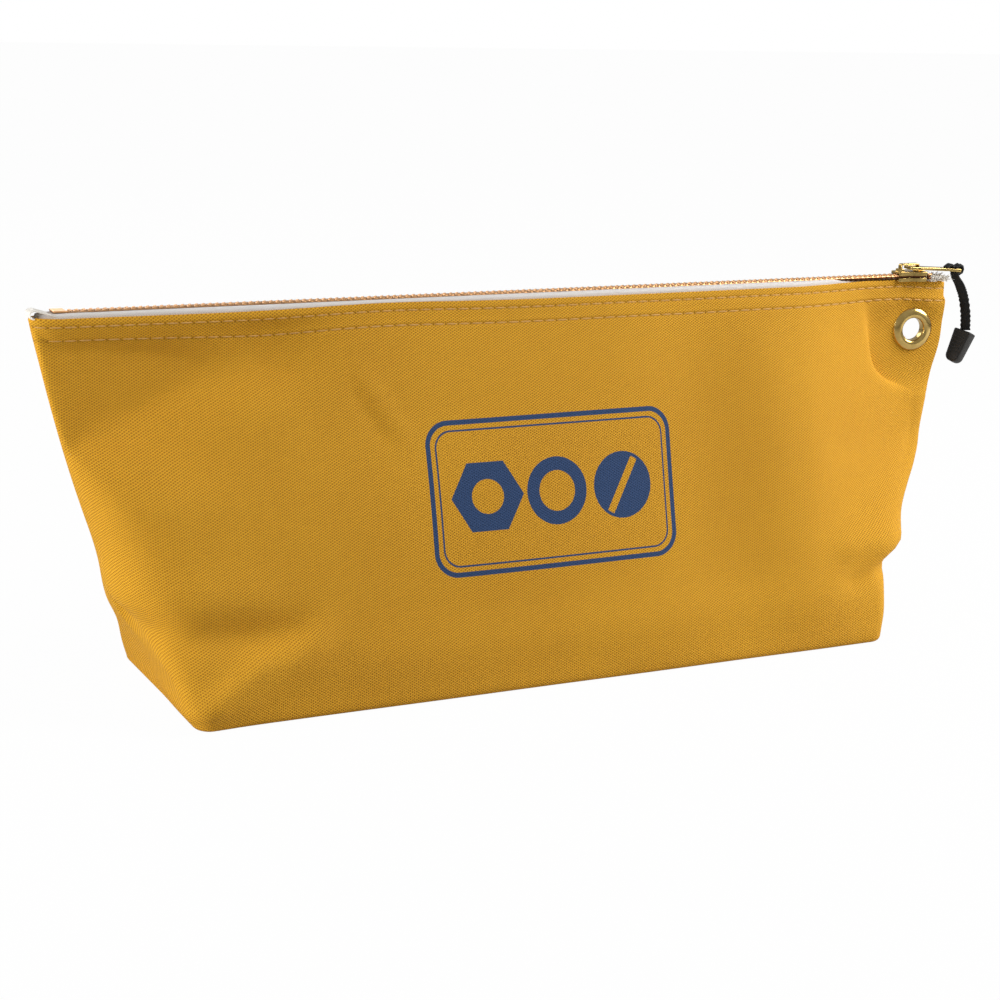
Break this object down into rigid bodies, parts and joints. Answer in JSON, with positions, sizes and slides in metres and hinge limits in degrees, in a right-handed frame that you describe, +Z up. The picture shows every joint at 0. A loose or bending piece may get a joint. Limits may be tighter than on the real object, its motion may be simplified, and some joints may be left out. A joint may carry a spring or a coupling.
{
  "type": "zippered tool bag",
  "caption": "Wide canvas tool bag that stands on a boxed base and closes with a brass zip along its mouth, with a ribbon puller and a grommet at one corner.",
  "frame": {"origin": "middle of the underside of the base, on the surface that the bag stands on", "axes": "+X along the zip towards the grommet and the closed position of the slider, -Y towards the front, +Z up through the mouth"},
  "size_m": [0.4783, 0.1034, 0.1743],
  "materials": {
    "canvas": "golden yellow woven cotton duck",
    "zip_tape": "off-white woven tape",
    "antique_brass": "antique brass teeth and stops",
    "polished_brass": "polished",
    "ribbon": "black woven cord",
    "grip": "matt black moulding"
  },
  "bodies": {
    "bag": {"canvas_body": "canvas", "front_zip_tape": "zip_tape", "back_zip_tape": "zip_tape", "front_tooth_row": "antique_brass", "back_tooth_row": "antique_brass", "bottom_stop": "antique_brass", "front_top_stop": "antique_brass", "back_top_stop": "antique_brass", "grommet_eyelet": "polished_brass", "grommet_washer": "polished_brass"},
    "slider": {"slider_body": "polished_brass", "slider_bridge": "polished_brass"},
    "tab": {"pull_tab": "polished_brass"},
    "strap": {"pull_ribbon": "ribbon", "pull_grip": "grip"}
  },
  "joints": [
    {"name": "slider_slide", "type": "slide", "parent": "bag", "child": "slider", "axis": [-1, 0, 0], "range_m": [0, 0.4119], "deforming": ["front_tooth_row", "back_tooth_row"]},
    {"name": "pull_tab_pivot", "type": "hinge", "parent": "slider", "child": "tab", "pos_m": [0.2067, 0, 0.17221], "axis": [0, -1, 0], "range_deg": [0, 180]},
    {"name": "ribbon_swing", "type": "hinge", "parent": "tab", "child": "strap", "pos_m": [0.23454, 0, 0.17036], "axis": [0, -1, 0], "range_deg": [0, 70], "deforming": ["pull_ribbon", "pull_grip"]}
  ]
}
